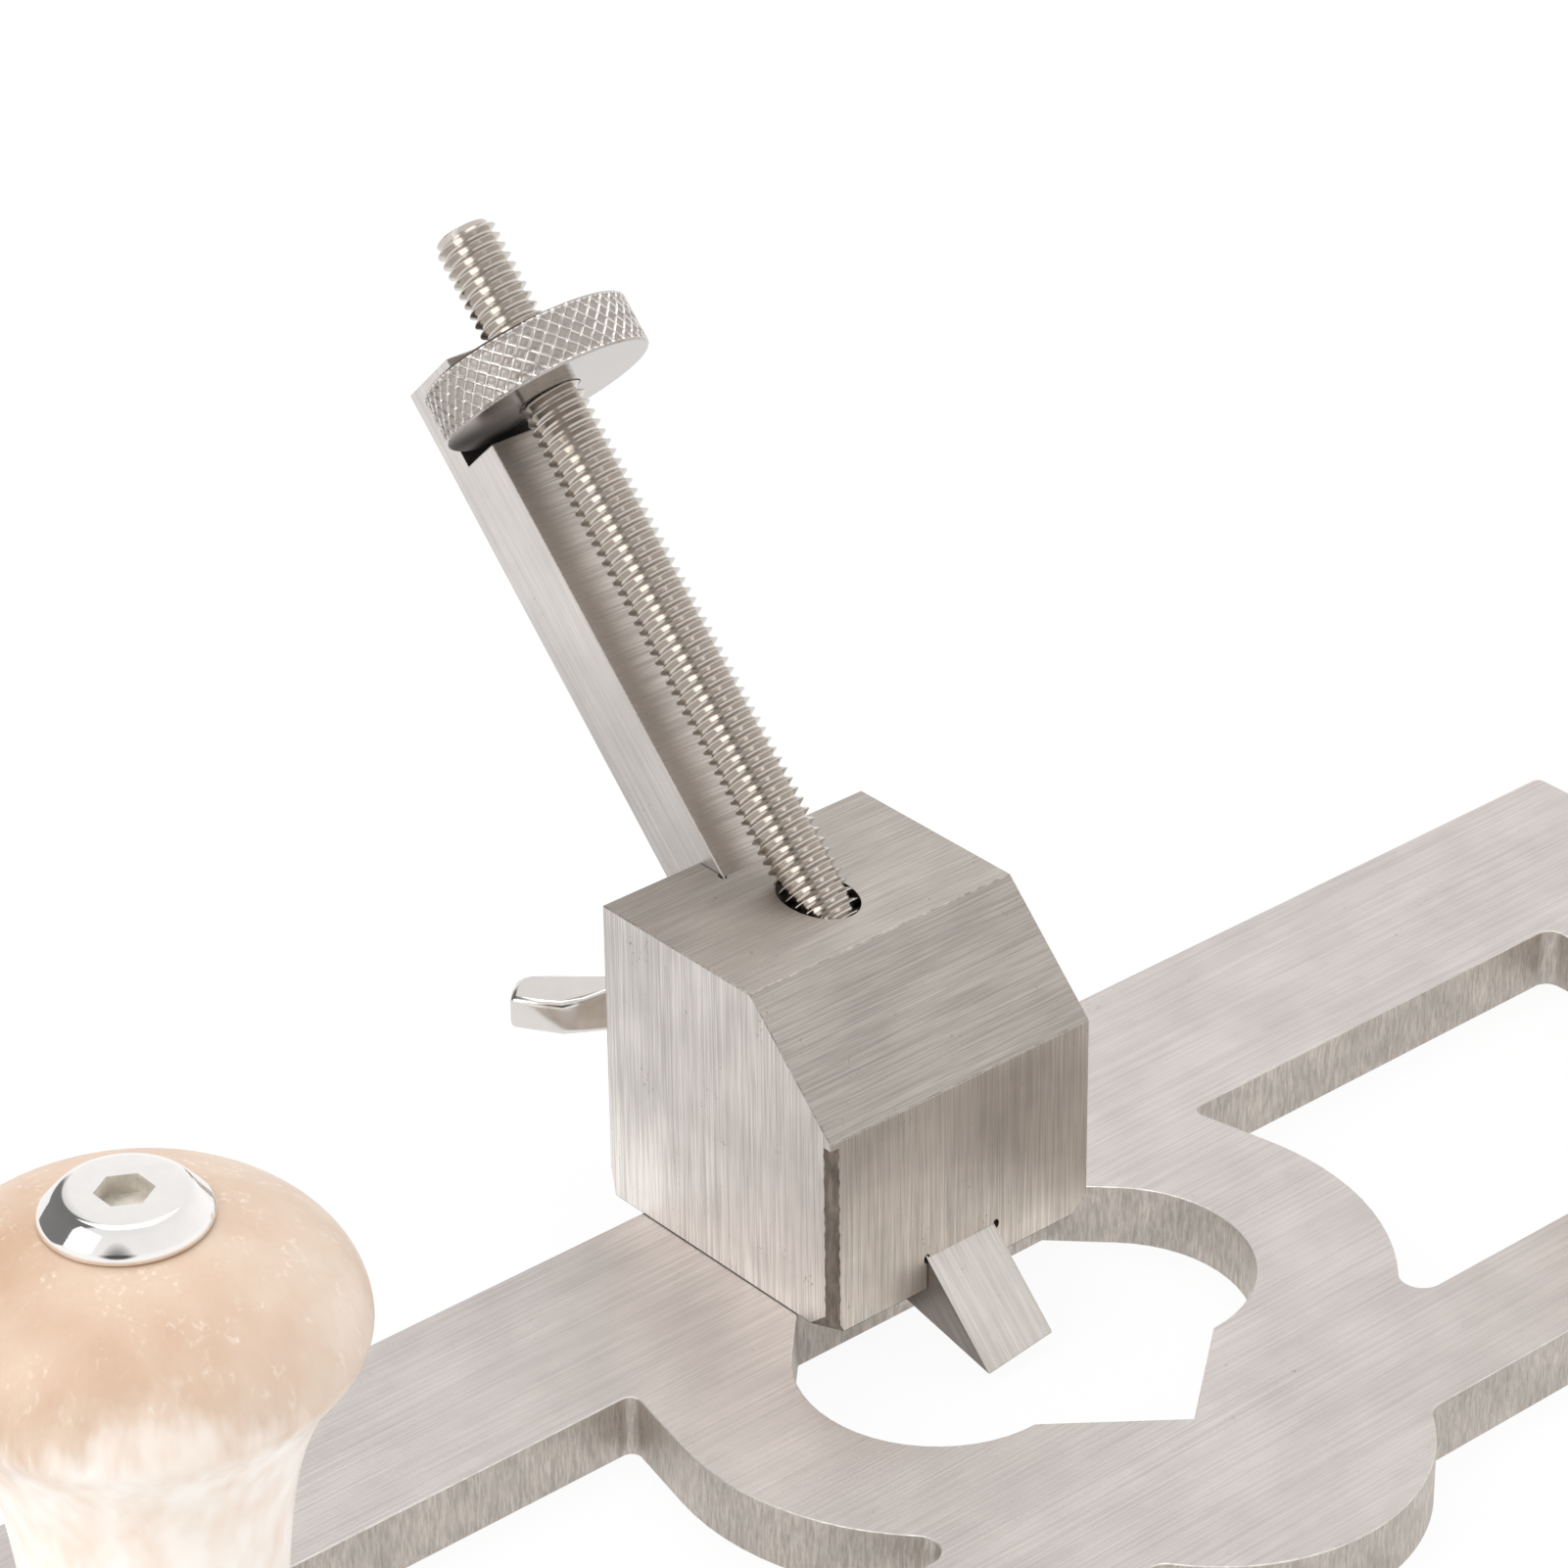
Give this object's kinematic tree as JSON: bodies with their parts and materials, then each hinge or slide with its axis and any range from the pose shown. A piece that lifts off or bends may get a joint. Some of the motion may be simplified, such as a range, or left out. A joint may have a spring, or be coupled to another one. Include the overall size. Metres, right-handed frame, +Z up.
{
  "type": "router plane",
  "caption": "Steel router plane: slotted sole plate, leaning square cutter in a block with knurled feed wheel and wing screw lock, turned wooden knobs at the ends.",
  "frame": {"origin": "on the sole (z = 0), midway between the two ends and midway across the bar along the plate's back edge, under the block", "axes": "+X along the plate to the right-hand end, +Y to the back, where the wing screw is, -Y to the front, where the rounded nose is and the cutting edge points, +Z up out of the plate towards the knobs"},
  "size_m": [0.2178, 0.1195, 0.0851],
  "materials": {
    "plate_steel": "brushed along the plate, satin",
    "block_steel": "brushed, with rough dark edges",
    "tool_steel": "ground tool steel",
    "wheel_steel": "turned faces with a diamond knurl on the rim",
    "bright_steel": "zinc plated, semi gloss",
    "dark_steel": "black oxide",
    "chrome": "polished",
    "wood": "pale wood under clear lacquer"
  },
  "bodies": {
    "frame": {"base_plate": "plate_steel", "tool_block": "block_steel", "block_screw_left": "dark_steel", "block_screw_right": "dark_steel", "feed_stud": "bright_steel", "knob_left": "wood", "knob_right": "wood", "knob_bolt_left": "chrome", "knob_bolt_right": "chrome"},
    "cutter": {"cutter": "tool_steel"},
    "feed_wheel": {"feed_wheel": "wheel_steel"},
    "wing_screw": {"wing_screw": "bright_steel"}
  },
  "joints": [
    {"name": "cutter_slide", "type": "slide", "parent": "frame", "child": "cutter", "axis": [0, 0.7071, 0.7071], "range_m": [-0.025, 0.01]},
    {"name": "wheel_spin", "type": "hinge", "parent": "cutter", "child": "feed_wheel", "pos_m": [0, 0.04055, 0.07326], "axis": [0, 0.7071, 0.7071], "range_deg": [-9000, 3600]},
    {"name": "wing_screw_turn", "type": "hinge", "parent": "frame", "child": "wing_screw", "pos_m": [0, 0.02, 0.019], "axis": [0, 1, 0], "range_deg": [-90, 720]}
  ],
  "couplings": [
    {"joint": "wheel_spin", "follows": "cutter_slide", "rad_per_m": 6283.2}
  ]
}
